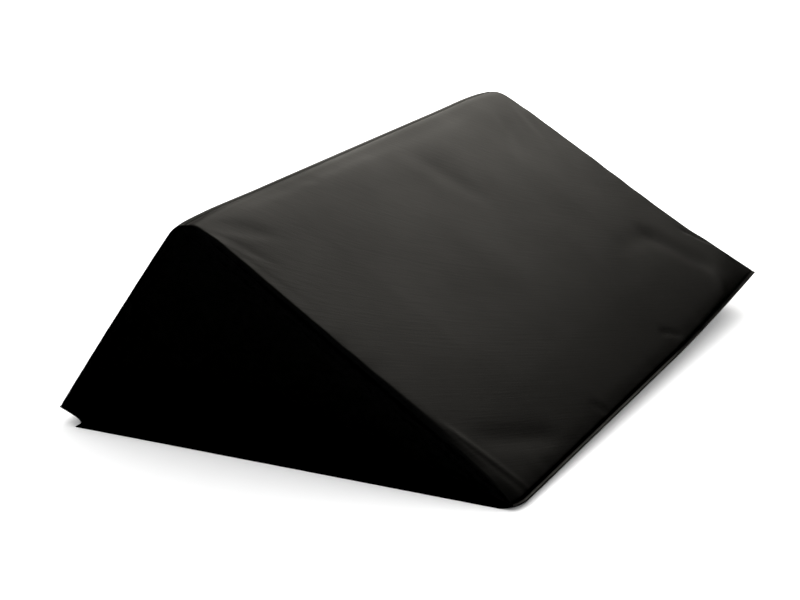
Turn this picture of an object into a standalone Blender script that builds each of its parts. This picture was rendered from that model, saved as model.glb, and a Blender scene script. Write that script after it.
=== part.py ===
"""Wedge cushion: a foam wedge in a smooth black cover, 600 mm wide, 440 mm deep and 200 mm high.

X runs along the ridge, the thin front edge is at -Y, the upright back is at +Y, and the origin is on the floor
under the middle of the finished cushion. The cover is sewn from four panels with plain seams: one goes up the
slope, over the ridge and down the back, one is the base, and a triangle closes each end. Cover and foam are one
filled solid.
"""

import math
from typing import NamedTuple

import bmesh
import bpy
from mathutils import Vector

# Sizes in metres, at the foam's cut edges.
WIDTH = 0.600
DEPTH = 0.440
HEIGHT = 0.200
RIDGE_RUN = 0.300  # from the front edge to the ridge, in plan
RIDGE_ROUNDING_LEFT = 0.0022  # taken off the sharp ridge at either end, and in even steps between
RIDGE_ROUNDING_RIGHT = 0.0052
RIDGE_ENDS = 0.0028  # and this much more where the ridge meets an end seam
RIDGE_ENDS_LENGTH = 0.060
FRONT_Y = -0.2180  # places the finished depth, less than DEPTH behind, over the origin

# The front seam runs from near the floor at the left end to well above it at the right end, where the cover's
# empty corner curls up on its own.
FRONT_SEAM_LEFT = 0.004
FRONT_SEAM_RIGHT = 0.024
CORNER_CURL = 0.0095
CORNER_CURL_ACROSS = 0.230
CORNER_CURL_BACK = 0.115
FRONT_LIFT_LEFT = 0.016  # how far back from the front seam the underside reaches the floor
FRONT_LIFT_RIGHT = 0.130
FRONT_LIFT_BEND = 1.15  # over 1 bends the lifted underside up towards the front seam

# The back seam, low along the middle and lifted as an ear at both ends.
BACK_SEAM = 0.006
BACK_EAR_LEFT = 0.010
BACK_EAR_RIGHT = 0.005
BACK_EAR_LENGTH = 0.085
FLAT_BACK_Y = 0.179  # the back edge of the flat area that lies on the floor

# Crown of the panels over the foam, and how far from a seam or edge they take to reach it.
SLOPE_CROWN = 0.004
BACK_CROWN = 0.0060
END_CROWN = 0.005
RIDGE_CROWN = 0.0006
BACK_SEAM_BOW = 0.20  # share of the back's crown that its end seams follow
CROWN_FROM_SEAM = 0.024
CROWN_FROM_EDGE = 0.060
BACK_CROWN_FROM_FLOOR = 0.120

# The tight seams draw the end panels in between their corners, by so much and most at a share of the panel that
# the exponent sets: 1 is the middle, and 2 is nearer to the panel's far end.
DRAWN_IN = {"slope": (0.0015, 1), "back": (0.0015, 1), "base": (0.0065, 2)}

# Lines of the cage, as shares of a panel's length. They are closer where the cover turns.
SLOPE_LINES = (0.025, 0.06, 0.11, 0.17, 0.24, 0.33, 0.44, 0.56, 0.68, 0.80, 0.90, 0.962)
BACK_LINES = (0.055, 0.15, 0.33, 0.52, 0.71, 0.87, 0.95)
BACK_LIFT_LINES = (0.35, 0.70)  # shares of the underside's lifted strip behind the flat area
FLAT_LINES = (0.12, 0.32, 0.54, 0.76, 0.92)
FRONT_LIFT_LINES = (0.30, 0.65)
ACROSS_LINES = (0.0, 0.008, 0.022, 0.042, 0.070, 0.105, 0.145, 0.190, 0.240)  # from each end seam
END_RINGS = (0.94, 0.74, 0.40)  # shares of the end panel's outline
SEAM_CREASE = 0.75
END_SEAM_LIFT = 0.0012  # the end panels' bottom seams roll up off the floor by this much


class Fold(NamedTuple):
    """One soft trough or ridge of the slope panel, with its middle at across and up."""

    across: float  # from the left end seam
    up: float  # from the front seam, up the slope
    turn: float  # degrees, from the width towards the ridge
    length: float
    width: float
    height: float  # below nought for a trough


FOLDS = (
    Fold(across=0.540, up=0.062, turn=-34, length=0.140, width=0.034, height=-0.0060),
    Fold(across=0.515, up=0.022, turn=-2, length=0.150, width=0.022, height=-0.0025),
    Fold(across=0.113, up=0.044, turn=-26, length=0.080, width=0.026, height=-0.0020),
    Fold(across=0.070, up=0.034, turn=-36, length=0.070, width=0.024, height=0.0018),
    Fold(across=0.353, up=0.262, turn=-75, length=0.140, width=0.034, height=-0.0018),
)


def rise(distance, reach):
    """0 at an edge and 1 from reach onwards, steep at the edge and level at the end."""
    return 1 - (1 - min(distance / reach, 1)) ** 2


def fade(distance, reach):
    """1 at an edge and 0 from reach onwards."""
    return max(1 - distance / reach, 0) ** 1.5


def fold_height(across, up):
    """Sum of the folds: each is a bell across its width that fades out towards its two tips."""
    total = 0
    for fold in FOLDS:
        angle = math.radians(fold.turn)
        dx, dy = across - fold.across, up - fold.up
        along = dx * math.cos(angle) + dy * math.sin(angle)
        aside = dy * math.cos(angle) - dx * math.sin(angle)
        total += fold.height * math.exp(-((2 * along / fold.length) ** 4) - (2 * aside / fold.width) ** 2)
    return total


def corners(across):
    """Front seam, ridge and back seam of the section at this distance from the left end seam, as (y, z)."""
    share = across / WIDTH
    front_z = FRONT_SEAM_LEFT + (FRONT_SEAM_RIGHT - FRONT_SEAM_LEFT) * share
    hump = RIDGE_CROWN * 4 * share * (1 - share)
    back_z = BACK_SEAM + back_ear(across)
    back_slope = (DEPTH - RIDGE_RUN) / HEIGHT
    return (
        Vector((FRONT_Y, front_z)),
        Vector((FRONT_Y + RIDGE_RUN, HEIGHT + hump)),
        Vector((FRONT_Y + DEPTH - back_z * back_slope, back_z)),
    )


def back_ear(across):
    """The lift of the back seam's two ears."""
    left, right = fade(across, BACK_EAR_LENGTH), fade(WIDTH - across, BACK_EAR_LENGTH)
    return BACK_EAR_LEFT * left + BACK_EAR_RIGHT * right


def base_lines(across):
    """Depth and height of the underside's cage lines: up to the back seam, flat on the floor, up to the front."""
    front, _, back = corners(across)
    flat_front = FRONT_Y + FRONT_LIFT_LEFT + (FRONT_LIFT_RIGHT - FRONT_LIFT_LEFT) * across / WIDTH
    lines = [(back.x + (FLAT_BACK_Y - back.x) * t, back.y * (1 - t**3)) for t in BACK_LIFT_LINES]
    lines += [(FLAT_BACK_Y + (flat_front - FLAT_BACK_Y) * t, 0.0) for t in (0.0, *FLAT_LINES, 1.0)]
    lines += [(flat_front + (front.x - flat_front) * t, front.y * t**FRONT_LIFT_BEND) for t in FRONT_LIFT_LINES]
    return lines


def corner_curl(across, y):
    reach = math.hypot((WIDTH - across) / CORNER_CURL_ACROSS, (y - FRONT_Y) / CORNER_CURL_BACK)
    return CORNER_CURL * fade(reach, 1)


def section_points(across):
    """The closed ring of cage points of one section, each with its panel and share along that panel."""
    front, ridge, back = corners(across)
    to_end = min(across, WIDTH - across)
    ring = [("slope", 0.0, front)]

    slope = ridge - front
    normal = Vector((-slope.y, slope.x)).normalized()
    for share in SLOPE_LINES:
        up = share * slope.length
        crown = SLOPE_CROWN * rise(to_end, CROWN_FROM_SEAM) * rise(up, CROWN_FROM_EDGE)
        crown *= rise(slope.length - up, CROWN_FROM_EDGE)
        crown += fold_height(across, up) * rise(to_end, CROWN_FROM_SEAM)
        ring.append(("slope", share, front + slope * share + normal * crown))

    ridge_down = RIDGE_ROUNDING_LEFT + (RIDGE_ROUNDING_RIGHT - RIDGE_ROUNDING_LEFT) * across / WIDTH
    ridge_down += RIDGE_ENDS * fade(to_end, RIDGE_ENDS_LENGTH)
    ring.append(("slope", 1.0, ridge - Vector((0, ridge_down))))

    fall = back - ridge
    normal = Vector((-fall.y, fall.x)).normalized()
    for share in BACK_LINES:
        down = share * fall.length
        crown = BACK_CROWN * (BACK_SEAM_BOW + (1 - BACK_SEAM_BOW) * rise(to_end, CROWN_FROM_SEAM))
        crown *= rise(down, CROWN_FROM_EDGE)
        crown *= rise(fall.length - down, BACK_CROWN_FROM_FLOOR)
        ring.append(("back", share, ridge + fall * share + normal * crown))

    ring.append(("base", 0.0, back))
    seam_lift = END_SEAM_LIFT if to_end == 0 else 0.0
    for y, z in base_lines(across):
        ring.append(("base", (back.x - y) / (back.x - front.x), Vector((y, z + seam_lift))))

    return [(panel, share, Vector((p.x, p.y + corner_curl(across, p.x)))) for panel, share, p in ring]


def incentre():
    """Middle of the end panel: the point that is as far from the slope as from the back and the floor."""
    front, ridge, back = (FRONT_Y, 0), (FRONT_Y + RIDGE_RUN, HEIGHT), (FRONT_Y + DEPTH, 0)
    sides = [(math.dist(ridge, back), front), (math.dist(front, back), ridge), (math.dist(front, ridge), back)]
    total = sum(side for side, _ in sides)
    return Vector([sum(side * corner[axis] for side, corner in sides) / total for axis in (0, 1)])


def end_ring(across, outward, scale):
    """The end panel's outline shrunk towards its middle, crowned outwards and drawn in between the corners."""
    middle = incentre()
    ring = []
    for panel, share, point in section_points(across):
        most, exponent = DRAWN_IN[panel]
        drawn = most * 4 * share**exponent * (1 - share**exponent)
        x = outward * (WIDTH / 2 - drawn * scale**2 + END_CROWN * (1 - scale**3))
        y, z = middle + (point - middle) * scale
        ring.append((x, y, z))
    return ring


def cage_rings():
    """Every ring of the cage, from the middle of the left end panel to the middle of the right one."""
    stations = [a for a in ACROSS_LINES if a > 0]
    stations += [WIDTH / 2] + [WIDTH - a for a in reversed(stations)]
    rings = [end_ring(0.0, -1, scale) for scale in (*reversed(END_RINGS), 1.0)]
    for across in stations:
        rings.append([(across - WIDTH / 2, p.x, p.y) for _, _, p in section_points(across)])
    rings += [end_ring(WIDTH, 1, scale) for scale in (1.0, *END_RINGS)]
    return rings


def build_cage(name):
    """Joins the rings with faces, closes both ends and creases the seams and the edge of the flat area."""
    bm = bmesh.new()
    crease = bm.edges.layers.float.new("crease_edge")
    corner_crease = bm.verts.layers.float.new("crease_vert")
    rings = [[bm.verts.new(co) for co in ring] for ring in cage_rings()]
    count = len(rings[0])

    for ring, following in zip(rings, rings[1:]):
        for i in range(count):
            j = (i + 1) % count
            bm.faces.new((ring[i], ring[j], following[j], following[i]))

    middle = incentre()
    for ring, outward in ((rings[0], -1), (rings[-1], 1)):
        pole = bm.verts.new((outward * (WIDTH / 2 + END_CROWN), middle.x, middle.y))
        for i in range(count):
            bm.faces.new((ring[i], ring[(i + 1) % count], pole))
    bmesh.ops.recalc_face_normals(bm, faces=bm.faces)

    seam_rings = (rings[len(END_RINGS)], rings[-1 - len(END_RINGS)])
    for ring in seam_rings:
        for i in range(count):
            bm.edges.get((ring[i], ring[(i + 1) % count]))[crease] = SEAM_CREASE
    front_line, back_line = 0, len(SLOPE_LINES) + len(BACK_LINES) + 2
    flat_lines = back_line + len(BACK_LIFT_LINES) + 1, count - len(FRONT_LIFT_LINES) - 1
    inner = rings[len(END_RINGS) : len(rings) - len(END_RINGS)]
    for ring, following in zip(inner, inner[1:]):
        for line in (front_line, back_line):
            bm.edges.get((ring[line], following[line]))[crease] = SEAM_CREASE
    for ring, following in zip(inner[1:-1], inner[2:-1]):
        for line in flat_lines:
            bm.edges.get((ring[line], following[line]))[crease] = 1.0
    for ring in (inner[1], inner[-2]):
        for line in range(*flat_lines):
            bm.edges.get((ring[line], ring[line + 1]))[crease] = 1.0
        for line in flat_lines:
            ring[line][corner_crease] = 1.0

    mesh = bpy.data.meshes.new(name)
    bm.to_mesh(mesh)
    bm.free()
    mesh.shade_smooth()
    return mesh


def cover_material():
    """Black coated cover cloth, smooth with a soft sheen."""
    material = bpy.data.materials.new("black_coated_cover")
    material.use_nodes = True
    shader = material.node_tree.nodes["Principled BSDF"]
    shader.inputs["Base Color"].default_value = (0.010, 0.010, 0.010, 1)
    shader.inputs["Roughness"].default_value = 0.55
    shader.inputs["Metallic"].default_value = 0.0
    return material


def clear_scene():
    for obj in list(bpy.data.objects):
        bpy.data.objects.remove(obj, do_unlink=True)


def main():
    clear_scene()
    collection = bpy.data.collections.new("wedge_pillow")
    bpy.context.scene.collection.children.link(collection)

    cushion = bpy.data.objects.new("wedge_cushion", build_cage("wedge_cushion"))
    cushion.data.materials.append(cover_material())
    collection.objects.link(cushion)

    softened = cushion.modifiers.new("Softened", "SUBSURF")
    softened.levels = softened.render_levels = 1


main()
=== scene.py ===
import math

import bpy
import numpy as np
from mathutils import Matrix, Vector


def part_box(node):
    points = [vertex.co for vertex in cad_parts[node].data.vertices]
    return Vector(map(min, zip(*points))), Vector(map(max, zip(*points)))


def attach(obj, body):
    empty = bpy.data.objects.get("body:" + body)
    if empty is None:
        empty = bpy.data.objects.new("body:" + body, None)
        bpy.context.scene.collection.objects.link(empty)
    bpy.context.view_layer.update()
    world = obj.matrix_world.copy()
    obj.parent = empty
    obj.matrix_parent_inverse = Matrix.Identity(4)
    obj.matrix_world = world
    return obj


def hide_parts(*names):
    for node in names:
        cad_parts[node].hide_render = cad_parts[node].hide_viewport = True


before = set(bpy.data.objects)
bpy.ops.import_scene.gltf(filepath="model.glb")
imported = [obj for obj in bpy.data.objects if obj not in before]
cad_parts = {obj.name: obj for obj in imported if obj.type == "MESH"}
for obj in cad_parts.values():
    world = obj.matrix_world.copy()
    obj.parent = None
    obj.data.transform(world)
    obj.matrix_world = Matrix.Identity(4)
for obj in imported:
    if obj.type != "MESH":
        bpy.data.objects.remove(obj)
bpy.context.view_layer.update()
cadLow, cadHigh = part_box("wedge_cushion")

# Everything is in metres. The thin front edge is at -Y, the back at +Y, and left and right are the ends at -X
# and +X.

cushion = {
    "endCrown": 0.005,           # how far the end panels stand out beyond their seams
    "drawnIn": {"slope": (0.0015, 1), "back": (0.0015, 1), "base": (0.0065, 2)},  # most, and where it lies
    "ridgeShare": 0.300 / 0.440,  # the ridge's place between the sharp front and back edges
    "ridgeRound": (0.0120, 0.0155),  # from the sharp ridge to where the bend starts, left and right
    "ridgeRoundEnds": 0.008,
    "ridgeEndsLength": 0.060,
    "ridgeCrown": 0.0006,
    "frontSeam": (0.004, 0.024),  # height of the front seam at the left and right end
    "frontLift": (0.016, 0.130), # how far behind the front seam the underside reaches the surface
    "frontLiftBend": 1.15,
    "backLiftBend": 1.1,
    "baseParts": (0.16, 0.74),   # shares of the base's columns: up to the flat area, and to its end
    "flatBack": 0.197,           # the back edge of the flat area
    "footBulge": 0.014,          # under the left ear the foam's corner stands out below the cover's notch
    "tipRound": (0.0045, 0.016, 0.030),  # the left tip is rounded: how much, and its reach across and back
    "curl": (0.0095, 0.230, 0.115),  # the empty right corner: its lift, and its reach across and back
    "backSeam": 0.006,
    "backEars": (0.010, 0.005),  # extra lift of the back seam at the left and right end
    "backEarLength": 0.085,
    "slopeCrown": 0.0050,
    "backCrown": 0.0052,
    "backSeamBow": 0.20,
    "backShoulder": 0.024,
    "edgeRound": (0.0015, 0.0040, 0.020),  # over the foam's end edge: height, reach, fade at the seams
    "shoulder": (0.0020, 0.0150, 3.0),  # from the end seam to the slope's bend, at the ridge and front
    "crownFromRidge": 0.060,
    "crownFromFront": 0.130,
    "frontRoll": (0.0012, 0.0045),  # along the front edge the cover rolls down: height and reach of the roll
    "emptyRoll": (0.0048, 0.0360),  # the same at the right corner, which has no foam
    "emptyFrom": (0.536, 0.006, 0.25),  # where across it begins, how softly, and its share further left
    "backCrownFromFloor": 0.120,
}

# Soft troughs and ridges of the slope, each a bell: across from the left end seam, up from the front seam,
# turned from the width towards the ridge in degrees, with its length, width and height.
folds = [
    dict(across=0.536, up=0.070, turn=-74, length=0.085, width=0.030, height=-0.0024),
    dict(across=0.500, up=0.108, turn=-8, length=0.080, width=0.024, height=-0.0005),
    dict(across=0.583, up=0.079, turn=-62, length=0.022, width=0.007, height=-0.0010),
    dict(across=0.588, up=0.063, turn=-62, length=0.022, width=0.007, height=-0.0010),
    dict(across=0.074, up=0.040, turn=-26, length=0.100, width=0.026, height=-0.0012),
    dict(across=0.350, up=0.275, turn=-75, length=0.095, width=0.032, height=-0.0006),
    dict(across=0.020, up=0.045, turn=-80, length=0.085, width=0.008, height=0.0008),
    dict(across=0.197, up=0.012, turn=-65, length=0.022, width=0.009, height=-0.0010),
    dict(across=0.388, up=0.019, turn=-42, length=0.024, width=0.008, height=-0.0012),
]

seam = {
    "crest": (0.0009, 0.0007, 0.0007),  # the rolled edge: distance from the seam, width and height
    "dip": (0.0034, 0.0013, -0.0009),   # the trough where the seam allowance ends
    "frontSharp": (0.371, 0.006, 0.35),  # crisp up to here, how softly that ends, the relief after
    "backSharp": 0.25,
    "inset": 0.0075,                    # the end panels' seams lie so far in from the foam's edge
    "insetGroove": (0.0013, -0.0005),
    "insetReach": 0.020,                # the drawn-in outline shows this far into the end panels
    "puckerHeight": 0.00022,
    "puckerStart": 0.003,
    "puckerReach": 0.012,
    "puckerWaves": (0.090, 0.022, 9),   # longest, shortest and how many
}

grid = {"slope": 62, "back": 40, "base": 54, "across": 98, "end": 20, "ease": 0.80, "endBend": 1.5}


def rise(distance, reach):
    # 0 at an edge and 1 from reach onwards, steep at the edge and level at the end
    return 1 - (1 - np.clip(distance / reach, 0, 1)) ** 2


def fade(distance, reach):
    # 1 at an edge and 0 from reach onwards
    return np.clip(1 - distance / reach, 0, 1) ** 1.5


def eased(count):
    # shares from 0 to 1 that are close together at both ends
    t = np.arange(count) / count
    return t - grid["ease"] * np.sin(2 * np.pi * t) / (2 * np.pi)


def bent(distance, reach, soft=0.25):
    # 0 at an edge, straight up to about 1 at reach and level from there, with a soft bend between
    short = 1 - distance / reach
    start = (1 + math.sqrt(1 + soft**2)) / 2
    return (start - (short + np.sqrt(short**2 + soft**2)) / 2) / start


def mix(ends, share):
    return ends[0] + (ends[1] - ends[0]) * share


def waves(seed, longest, shortest, count, *coordinates):
    # sum of sines with seeded directions and phases, about 1 high, for soft unevenness
    draw = np.random.default_rng(seed)
    total = 0
    for _ in range(count):
        length = longest * (shortest / longest) ** draw.random()
        turn = draw.normal(size=len(coordinates))
        turn /= np.linalg.norm(turn)
        phase = draw.random() * 2 * np.pi
        total = total + np.sin(sum(t * c for t, c in zip(turn, coordinates)) * 2 * np.pi / length + phase)
    return total / math.sqrt(count / 2)


width = round(cadHigh[0] - cadLow[0] - 2 * cushion["endCrown"], 3)
frontY = cadLow[1] - 0.0005
depth = round(cadHigh[1] - cadLow[1] + 0.005, 3)
height = round(cadHigh[2] + 0.004, 3)
ridgeRun = depth * cushion["ridgeShare"]
print("cushion between its seams", width, depth, height)


def earLift(across):
    left, right = fade(across, cushion["backEarLength"]), fade(width - across, cushion["backEarLength"])
    return cushion["backEars"][0] * left + cushion["backEars"][1] * right


def sectionCorners(across):
    # front seam, sharp ridge and back seam of each section, as y and z
    share = across / width
    front = frontY + 0 * share, mix(cushion["frontSeam"], share)
    ridge = frontY + ridgeRun + 0 * share, height + cushion["ridgeCrown"] * 4 * share * (1 - share)
    backZ = cushion["backSeam"] + earLift(across)
    back = frontY + depth - backZ * (depth - ridgeRun) / height, backZ
    return front, ridge, back


def foldHeight(across, up):
    total = 0
    for fold in folds:
        angle = math.radians(fold["turn"])
        dx, dy = across - fold["across"], up - fold["up"]
        along = dx * math.cos(angle) + dy * math.sin(angle)
        aside = dy * math.cos(angle) - dx * math.sin(angle)
        bell = np.exp(-((2 * along / fold["length"]) ** 4) - (2 * aside / fold["width"]) ** 2)
        total = total + fold["height"] * bell
    return total


def puckers(distance, alongSeam, seed):
    # little folds that run out of a seam and die away from it
    shape = np.clip(distance / seam["puckerStart"], 0, 1) * np.exp(-distance / seam["puckerReach"])
    return seam["puckerHeight"] * waves(seed, *seam["puckerWaves"], alongSeam) * shape


def rolledSeam(distance):
    # the rolled edge and the trough beside it
    parts = seam["crest"], seam["dip"]
    return sum(size * np.exp(-(((distance - place) / spread) ** 2)) for place, spread, size in parts)


def wrapPanel(across, shares, isBack):
    # The wrap panel in metres: the path goes up the slope and down the back, and bends over the ridge on a
    # parabola, and the crown, the folds and the seams' relief stand along its normal.
    front, ridge, back = sectionCorners(across)
    slopeLength = np.hypot(ridge[0] - front[0], ridge[1] - front[1])
    backLength = np.hypot(back[0] - ridge[0], back[1] - ridge[1])
    slopeWay = (ridge[0] - front[0]) / slopeLength, (ridge[1] - front[1]) / slopeLength
    backWay = (back[0] - ridge[0]) / backLength, (back[1] - ridge[1]) / backLength
    toEnd = np.minimum(across, width - across)
    bend = mix(cushion["ridgeRound"], across / width)
    bend = bend + cushion["ridgeRoundEnds"] * fade(toEnd, cushion["ridgeEndsLength"])

    past = shares * backLength if isBack else (shares - 1) * slopeLength  # distance past the sharp ridge
    turned = (np.clip(past / bend, -1, 1) + 1) / 2
    before = np.where(past < -bend, -past, bend * (1 - turned) ** 2)
    after = np.where(past > bend, past, bend * turned**2)
    y = ridge[0] - before * slopeWay[0] + after * backWay[0]
    z = ridge[1] - before * slopeWay[1] + after * backWay[1]
    normalY = -slopeWay[1] * (1 - turned) - backWay[1] * turned
    normalZ = slopeWay[0] * (1 - turned) + backWay[0] * turned
    size = np.hypot(normalY, normalZ)

    if isBack:
        toEdge = backLength - past
        crown = cushion["backCrown"] * rise(past, cushion["crownFromRidge"])
        crown = crown * rise(toEdge, cushion["backCrownFromFloor"])
        shoulder = rise(toEnd, cushion["backShoulder"])
        crown = crown * (cushion["backSeamBow"] + (1 - cushion["backSeamBow"]) * shoulder)
    else:
        toEdge = slopeLength + past
        up = toEdge
        start, soft, further = cushion["emptyFrom"]
        noFoam = (across / width) ** 5 * further + (1 - further) / (1 + np.exp((start - across) / soft))
        roll, rollReach = (mix(ends, noFoam) for ends in zip(cushion["frontRoll"], cushion["emptyRoll"]))
        crown = (cushion["slopeCrown"] - roll) * rise(toEdge, cushion["crownFromFront"])
        crown = roll * bent(toEdge, rollReach) + crown
        crown = crown * rise(-past, cushion["crownFromRidge"])
        atRidge, atFront, curve = cushion["shoulder"]
        shoulder = bent(toEnd, atRidge + (atFront - atRidge) * np.clip(1 - up / slopeLength, 0, 1) ** curve)
        edgeHeight, edgeReach, edgeFade = cushion["edgeRound"]
        edge = edgeHeight * np.sqrt(rise(toEnd, edgeReach)) * rise(toEdge, edgeFade) * rise(-past, edgeFade)
        crown = (crown - edgeHeight + foldHeight(across, up)) * shoulder + edge
    wrapDistance = past + slopeLength
    place, soft, weaker = seam["frontSharp"]
    crisp = seam["backSharp"] if isBack else weaker + (1 - weaker) / (1 + np.exp((across - place) / soft))
    relief = puckers(toEnd, wrapDistance, 11) + puckers(toEdge, across, 12 + isBack)
    relief = relief + rolledSeam(toEdge) * crisp
    lift = crown + relief
    return y + lift * normalY / size, z + lift * normalZ / size, wrapDistance + 0 * across


def basePanel(across, shares):
    # The base in metres: from the back seam down to the flat area, along it, and up to the front seam.
    front, ridge, back = sectionCorners(across)
    flatFront = frontY + mix(cushion["frontLift"], across / width)
    backPart, frontPart = cushion["baseParts"]
    t = np.clip(shares / backPart, 0, 1)
    ear = earLift(across) / cushion["backEars"][0]
    y = back[0] + (cushion["flatBack"] - back[0]) * t
    y = y - ear * cushion["footBulge"] * np.sin(np.pi * t)
    z = back[1] * (1 - t) ** cushion["backLiftBend"]
    inFlat = np.clip((shares - backPart) / (frontPart - backPart), 0, 1)
    y = y + (flatFront - cushion["flatBack"]) * inFlat
    t = np.clip((shares - frontPart) / (1 - frontPart), 0, 1)
    y = y + (front[0] - flatFront) * t
    z = z + front[1] * t ** cushion["frontLiftBend"]
    return y, z, (back[0] - y) + 0 * across


def addCurl(across, y, z):
    lift, reachAcross, reachBack = cushion["curl"]
    reach = np.hypot((width - across) / reachAcross, (y - frontY) / reachBack)
    return z + lift * fade(reach, 1)


def roundTip(across, y):
    most, reachAcross, reachBack = cushion["tipRound"]
    return y + most * fade(np.hypot(across / reachAcross, (y - frontY) / reachBack), 1)


def cushionGrid(finer):
    # The whole cover as a grid: rows of closed rings. The rings of the left end grow from its middle to the seam,
    # then sections follow across the width, and the rings of the right end shrink again.
    counts = {name: grid[name] * finer for name in ("slope", "back", "base", "across", "end")}
    across = np.append(eased(counts["across"]), 1.0)[:, None] * width
    rings, paths = [], []
    for isBack in (0, 1):
        y, z, path = wrapPanel(across, eased(counts["back" if isBack else "slope"])[None, :], isBack)
        rings.append((y, z))
        paths.append(path)
    y, z, path = basePanel(across, eased(counts["base"])[None, :])
    rings.append((y, z))
    y, z = (np.hstack([ring[k] for ring in rings]) for k in (0, 1))
    x = across - width / 2 + 0 * y
    z = addCurl(across, y, z)
    y = roundTip(across, y)

    panels = [(name, eased(counts[name])) for name in ("slope", "back", "base")]
    drawn = []
    for name, shares in panels:
        most, exponent = cushion["drawnIn"][name]
        drawn.append(most * 4 * shares**exponent * (1 - shares**exponent))
    drawn = np.hstack(drawn)
    ringLength = np.hypot(np.diff(np.append(y[0], y[0][0])), np.diff(np.append(z[0], z[0][0])))
    alongRing = np.append(0, np.cumsum(ringLength))[:-1]

    front, ridge, back = (frontY, 0), (frontY + ridgeRun, height), (frontY + depth, 0)
    corners = front, ridge, back
    sides = math.dist(ridge, back), math.dist(front, back), math.dist(front, ridge)
    total = sum(sides)
    middle = [sum(side * corner[k] for side, corner in zip(sides, corners)) / total for k in (0, 1)]
    inradius = depth * height / total

    def endRows(row, outward):
        # outline shrunk towards the middle; the crown is a bubble that is nought on all three sides
        scale = (1 - (np.arange(1, counts["end"]) / counts["end"]) ** grid["endBend"])[:, None]
        ey = middle[0] + (y[row] - middle[0]) * scale
        ez = middle[1] + (z[row] - middle[1]) * scale
        bubble = endBubble(ey, ez, front, ridge, back)
        distance = (1 - scale) * inradius + 0 * ey
        spread, size = seam["insetGroove"]
        relief = size * np.exp(-(((distance - seam["inset"]) / spread) ** 2))
        relief = relief + puckers(np.abs(distance - seam["inset"]), alongRing, 21 if outward < 0 else 22)
        inside = np.clip(distance / seam["insetReach"], 0, 1)
        pulled = drawn * (1 - inside) + softly(drawn) * inside
        ex = outward * (width / 2 - pulled * scale**2 + cushion["endCrown"] * bubble**0.45 + relief)
        return ex, ey, ez

    x[0] += drawn
    x[-1] -= drawn
    left, right = endRows(0, -1), endRows(-1, 1)
    gridX = np.vstack([left[0][::-1], x, right[0]])
    gridY = np.vstack([left[1][::-1], y, right[1]])
    gridZ = np.vstack([left[2][::-1], z, right[2]])
    points = np.stack([gridX, gridY, gridZ], -1)
    poles = [(outward * (width / 2 + cushion["endCrown"]), *middle) for outward in (-1, 1)]
    path = np.hstack([paths[0], paths[1], path + paths[1][:, -1:]])
    return points, np.array(poles), counts, path


def softly(values):
    # a ring of values, each made the average of its neighbours within a tenth of the ring
    reach = len(values) // 20
    return sum(np.roll(values, step) for step in range(-reach, reach + 1)) / (2 * reach + 1)


def endBubble(y, z, front, ridge, back):
    # 27 times the product of the shares by which a point belongs to the corners: 1 in the middle, 0 on a side
    det = (ridge[1] - back[1]) * (front[0] - back[0]) + (back[0] - ridge[0]) * (front[1] - back[1])
    a = ((ridge[1] - back[1]) * (y - back[0]) + (back[0] - ridge[0]) * (z - back[1])) / det
    b = ((back[1] - front[1]) * (y - back[0]) + (front[0] - back[0]) * (z - back[1])) / det
    return np.clip(27 * np.clip(a, 0, 1) * np.clip(b, 0, 1) * np.clip(1 - a - b, 0, 1), 0, 1)


def gridCorners(rows, ringCount):
    # corners of the quads between neighbouring rings as (row, column), the last column closing each ring
    i, j = np.meshgrid(np.arange(rows - 1), np.arange(ringCount), indexing="ij")
    rowCorners, columnCorners = np.stack([i, i + 1, i + 1, i], -1), np.stack([j, j, j + 1, j + 1], -1)
    return rowCorners.reshape(-1, 4), columnCorners.reshape(-1, 4)


def meshObject(name, points, poles):
    # quads between the rings and a fan of triangles to each pole, all facing out
    rows, ringCount = points.shape[:2]
    row, column = gridCorners(rows, ringCount)
    quads = row * ringCount + column % ringCount
    j = np.arange(ringCount)
    k = (j + 1) % ringCount
    last = (rows - 1) * ringCount
    leftFan = np.stack([np.full_like(j, rows * ringCount), j, k], -1)
    rightFan = np.stack([np.full_like(j, rows * ringCount + 1), last + k, last + j], -1)
    mesh = bpy.data.meshes.new(name)
    vertices = np.vstack([points.reshape(-1, 3), poles])
    mesh.from_pydata(vertices.tolist(), [], quads.tolist() + leftFan.tolist() + rightFan.tolist())
    mesh.shade_smooth()
    obj = bpy.data.objects.new(name, mesh)
    bpy.context.scene.collection.objects.link(obj)
    return obj


settle = {
    "frames": 20,
    "pressure": 4.0,
    "grow": 0.005,       # the cloth is cut this much too large, unevenly, which makes the soft waves
    "tight": 0.003,
    "slackWaves": (0.300, 0.060, 14),  # longest, shortest and how many
    "onFloor": 0.0006,   # lower than this it lies on the surface
    "mostMove": 0.0012,  # the firm foam lets it move no more
    "heldBySeam": (0.120, 0.060),  # it moves less this near to the end seams and to the front seam
}


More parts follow.
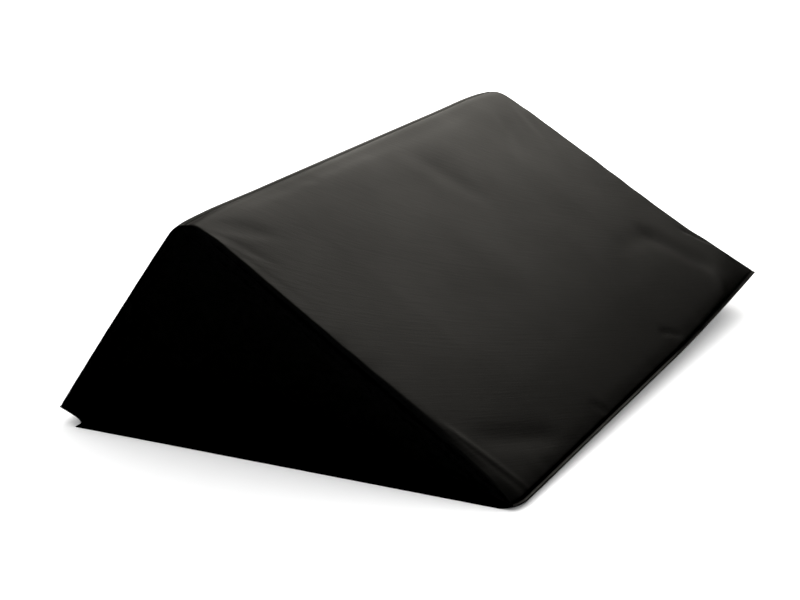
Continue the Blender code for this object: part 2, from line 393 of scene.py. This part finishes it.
def settleCloth(points, poles, counts):
    # The cover as cloth over its foam: pinned along the seams and on the surface, blown up a little, and let
    # settle. The result is how far each point moves.
    obj = meshObject("settling", points, poles)
    rows, ringCount = points.shape[:2]
    endRows = counts["end"] - 1
    frontColumn, backColumn = 0, counts["slope"] + counts["back"]
    pinned = np.zeros((rows, ringCount), bool)
    pinned[[endRows, rows - 1 - endRows]] = True
    pinned[endRows : rows - endRows, [frontColumn, backColumn]] = True
    pinned |= points[..., 2] < settle["onFloor"]
    pinGroup = obj.vertex_groups.new(name="pinned")
    pinGroup.add(np.flatnonzero(pinned.ravel()).tolist(), 1.0, "REPLACE")

    unevenness = waves(31, *settle["slackWaves"], *np.moveaxis(points.reshape(-1, 3), -1, 0))
    slack = 0.5 + 0.5 * np.clip(unevenness, -1, 1)
    slackGroup = obj.vertex_groups.new(name="slack")
    for step in range(11):
        members = np.flatnonzero(np.round(slack * 10) == step)
        slackGroup.add(members.tolist(), step / 10, "REPLACE")

    cloth = obj.modifiers.new("Cloth", "CLOTH")
    cloth.settings.vertex_group_mass = "pinned"
    cloth.settings.vertex_group_shrink = "slack"
    cloth.settings.shrink_min = -settle["grow"]
    cloth.settings.shrink_max = settle["tight"]
    cloth.settings.use_pressure = True
    cloth.settings.uniform_pressure_force = settle["pressure"]
    cloth.settings.effector_weights.gravity = 0
    cloth.settings.quality = 5
    cloth.collision_settings.use_collision = False
    cloth.collision_settings.use_self_collision = False
    cloth.point_cache.frame_start, cloth.point_cache.frame_end = 1, settle["frames"]
    for frameNumber in range(1, settle["frames"] + 1):
        bpy.context.scene.frame_set(frameNumber)
    start = np.vstack([points.reshape(-1, 3), poles])
    evaluated = obj.evaluated_get(bpy.context.evaluated_depsgraph_get())
    moved = np.empty(len(obj.data.vertices) * 3)
    evaluated.data.vertices.foreach_get("co", moved)
    moved = moved.reshape(-1, 3) - start
    bpy.context.scene.frame_set(1)
    bpy.data.objects.remove(obj, do_unlink=True)
    length = np.linalg.norm(moved, axis=1, keepdims=True)
    fromEnds, fromFront = settle["heldBySeam"]
    held = np.clip((width / 2 - np.abs(start[:, :1])) / fromEnds, 0, 1)
    held = held * np.clip((start[:, 1:2] - frontY) / fromFront, 0, 1)
    moved = moved * held * settle["mostMove"] / np.sqrt(length**2 + settle["mostMove"] ** 2)
    print("cloth settled, moved by at most", round(float(length.max()) * 1000, 1), "mm, middle",
          round(float(np.median(length)) * 1000, 2))
    return moved[:-2].reshape(rows, ringCount, 3), moved[-2:]


def doubled(values, axis, closed):
    # puts a point between all neighbours along one axis, on the cubic through the four nearest:
    # (-1, 9, 9, -1) / 16
    ends = "wrap" if closed else "edge"
    padded = np.pad(values, [(1, 2) if k == axis else (0, 0) for k in range(values.ndim)], mode=ends)
    part = [np.take(padded, range(k, k + values.shape[axis]), axis) for k in range(4)]
    between = (9 * (part[1] + part[2]) - part[0] - part[3]) / 16
    both = np.stack([values, between], axis + 1)
    shape = list(values.shape)
    shape[axis] *= 2
    return both.reshape(shape)


points, poles, counts, paths = cushionGrid(2)
coarse, coarsePoles, coarseCounts, _ = cushionGrid(1)
moved, movedPoles = settleCloth(coarse, coarsePoles, coarseCounts)
poleRows = np.repeat(movedPoles[:, None, None, :], moved.shape[1], axis=2)
moved = np.concatenate([poleRows[0], moved, poleRows[1]])
moved = doubled(doubled(moved, 0, False), 1, True)
points = points + moved[1 : 1 + points.shape[0]]
poles = poles + movedPoles
points[..., 2] = np.maximum(points[..., 2], 0)
cover = meshObject("cushion_cover", points, poles)

# Cloth map in metres. The wrap panel and the base: across, and along the way around. The ends: depth, height.
row, column = gridCorners(*points.shape[:2])
ringCount = points.shape[1]
endRows = counts["end"] - 1
acrossRow = np.clip(row - endRows, 0, paths.shape[0] - 1)
closedPaths = np.hstack([paths, 2 * paths[:, -1:] - paths[:, -2:-1]])
onEnd = (row.min(1) < endRows) | (row.max(1) > points.shape[0] - 1 - endRows)
flat = points[row, column % ringCount]
mapU = np.where(onEnd[:, None], flat[..., 1], flat[..., 0] + width / 2)
mapV = np.where(onEnd[:, None], flat[..., 2] + 1.5, closedPaths[acrossRow, column])
fans = np.zeros((2 * ringCount * 3, 2))
clothMap = cover.data.uv_layers.new(name="clothMap")
clothMap.data.foreach_set("uv", np.vstack([np.stack([mapU, mapV], -1).reshape(-1, 2), fans]).ravel())
print("cover made,", len(cover.data.polygons), "faces, highest", round(float(points[..., 2].max()), 4))

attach(cover, "root")
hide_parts("wedge_cushion")


def linear(hexColour):
    # sRGB hex to the linear values that the shaders take
    values = [int(hexColour[k : k + 2], 16) / 255 for k in (1, 3, 5)]
    return [v / 12.92 if v <= 0.04045 else ((v + 0.055) / 1.055) ** 2.4 for v in values] + [1.0]


def addNode(tree, kind, settings=None, **links):
    # adds a node, sets its properties and sockets, and links its inputs
    node = tree.nodes.new(kind)
    for key, value in (settings or {}).items():
        if isinstance(key, int) or key in node.inputs:
            node.inputs[key].default_value = value
        else:
            setattr(node, key, value)
    for key, source in links.items():
        tree.links.new(source, node.inputs[key.replace("_", " ")])
    return node


# The real material is black polyurethane coated knit, calendered: a smooth satin film that softly mirrors
# large lights, with fine slanted drag lines of the knit showing through, 2 to 4 mm apart.
coverCloth = bpy.data.materials.new("polyurethane coated knit, satin black")
coverCloth.use_nodes = True
tree = coverCloth.node_tree
coverShader = tree.nodes["Principled BSDF"]
coverShader.inputs["Base Color"].default_value = linear("#0b0b0b")
coverShader.inputs["IOR"].default_value = 1.5
coverShader.inputs["Specular IOR Level"].default_value = 0.5

# The drag lines bend: across + 2.65 v - 3.2 v * v is constant along each, with v the distance up from the
# front seam.
mapNode = addNode(tree, "ShaderNodeUVMap", {"uv_map": "clothMap"})
split = addNode(tree, "ShaderNodeSeparateXYZ", Vector=mapNode.outputs["UV"])
bend = addNode(tree, "ShaderNodeMath", {"operation": "MULTIPLY_ADD", 1: -3.2, 2: 2.65})
tree.links.new(split.outputs["Y"], bend.inputs[0])
shift = addNode(tree, "ShaderNodeMath", {"operation": "MULTIPLY_ADD"})
tree.links.new(bend.outputs["Value"], shift.inputs[0])
tree.links.new(split.outputs["Y"], shift.inputs[1])
tree.links.new(split.outputs["X"], shift.inputs[2])
dragLines = addNode(tree, "ShaderNodeCombineXYZ", X=shift.outputs["Value"], Y=split.outputs["Y"])
grainWide = addNode(tree, "ShaderNodeVectorMath", {"operation": "MULTIPLY", 1: (1.0, 0.22, 1.0)})
tree.links.new(dragLines.outputs["Vector"], grainWide.inputs[0])
lines = addNode(tree, "ShaderNodeTexNoise", {"Scale": 190.0, "Detail": 3.0, "Roughness": 0.6},
                Vector=grainWide.outputs["Vector"])
pores = addNode(tree, "ShaderNodeTexNoise", {"Scale": 620.0, "Detail": 2.0, "Roughness": 0.5},
                Vector=mapNode.outputs["UV"])
patches = addNode(tree, "ShaderNodeTexNoise", {"Scale": 9.0, "Detail": 3.0, "Roughness": 0.55},
                  Vector=mapNode.outputs["UV"])
lineBump = addNode(tree, "ShaderNodeBump", {"Strength": 0.30, "Distance": 0.0004},
                   Height=lines.outputs["Fac"])
poreBump = addNode(tree, "ShaderNodeBump", {"Strength": 0.25, "Distance": 0.0002},
                   Height=pores.outputs["Fac"], Normal=lineBump.outputs["Normal"])
glossRange = {"From Min": 0.3, "From Max": 0.7, "To Min": 0.43, "To Max": 0.50}
gloss = addNode(tree, "ShaderNodeMapRange", glossRange, Value=patches.outputs["Fac"])
tree.links.new(poreBump.outputs["Normal"], coverShader.inputs["Normal"])
tree.links.new(gloss.outputs["Result"], coverShader.inputs["Roughness"])
cover.data.materials.append(coverCloth)
print("material made")

# floor and lights
bpy.ops.mesh.primitive_plane_add(size=14)
floor = bpy.context.object
floor.name = "studio_floor"
floorPaint = bpy.data.materials.new("matt white studio floor")
floorPaint.use_nodes = True
floorPaint.node_tree.nodes["Principled BSDF"].inputs["Base Color"].default_value = linear("#f2f2f2")
floorPaint.node_tree.nodes["Principled BSDF"].inputs["Roughness"].default_value = 0.9
floor.data.materials.append(floorPaint)
floor.visible_glossy = False

studio = {
    "world": 1.6,
    "lights": [
        # place, aimed at, width and height, power in watts, colour, mirrored in the cover or not
        dict(name="key", place=(1.9, 0.5, 1.1), aim=(0, 0, 0), size=(1.2, 1.2), power=28, colour="#ffffff",
             mirrored=False),
        dict(name="softbox", place=(1.40, 0.40, 0.88), aim=(0, 0, 0.1), size=(1.0, 1.1), power=4.6,
             colour="#fffaf0", mirrored=True),
        dict(name="fill", place=(0.95, -0.35, 0.85), aim=(-0.1, -0.1, 0.05), size=(0.6, 0.6), power=0.5,
             colour="#fffaf0", mirrored=True),
        dict(name="rim", place=(1.35, 1.05, 0.30), aim=(0, 0.08, 0.15), size=(0.7, 0.5), power=1.1,
             colour="#fffaf0", mirrored=True),
    ],
}
world = bpy.data.worlds.new("studio")
world.use_nodes = True
world.node_tree.nodes["Background"].inputs["Color"].default_value = (1, 1, 1, 1)
world.node_tree.nodes["Background"].inputs["Strength"].default_value = studio["world"]
world.cycles_visibility.glossy = False  # it whitens the floor, and the cover mirrors only the soft boxes
bpy.context.scene.world = world
for light in studio["lights"]:
    lamp = bpy.data.lights.new(light["name"], "AREA")
    lamp.shape = "RECTANGLE"
    lamp.size, lamp.size_y = light["size"]
    lamp.energy = light["power"]
    lamp.color = linear(light["colour"])[:3]
    lampObject = bpy.data.objects.new(light["name"], lamp)
    lampObject.location = light["place"]
    lampObject.visible_glossy = light["mirrored"]
    lampObject.visible_camera = False
    way = Vector(light["aim"]) - Vector(light["place"])
    lampObject.rotation_euler = way.to_track_quat("-Z", "Y").to_euler()
    bpy.context.scene.collection.objects.link(lampObject)

camera = {"place": (-1.6495, -0.7893, 0.6297), "yaw": 63.46, "pitch": -17.38, "lens": 92.57}
yaw, pitch = math.radians(camera["yaw"]), math.radians(camera["pitch"])
cameraData = bpy.data.cameras.new("camera")
cameraData.lens = camera["lens"]
cameraObject = bpy.data.objects.new("camera", cameraData)
cameraObject.location = camera["place"]
look = Vector((math.cos(pitch) * math.sin(yaw), math.cos(pitch) * math.cos(yaw), math.sin(pitch)))
cameraObject.rotation_euler = look.to_track_quat("-Z", "Y").to_euler()
bpy.context.scene.collection.objects.link(cameraObject)
bpy.context.scene.camera = cameraObject
view = bpy.context.scene.view_settings
view.view_transform = "Standard"
view.use_curve_mapping = True
view.curve_mapping.black_level = (0.0045, 0.0045, 0.0045)  # the photo's shadows are clipped to black
print("studio made")
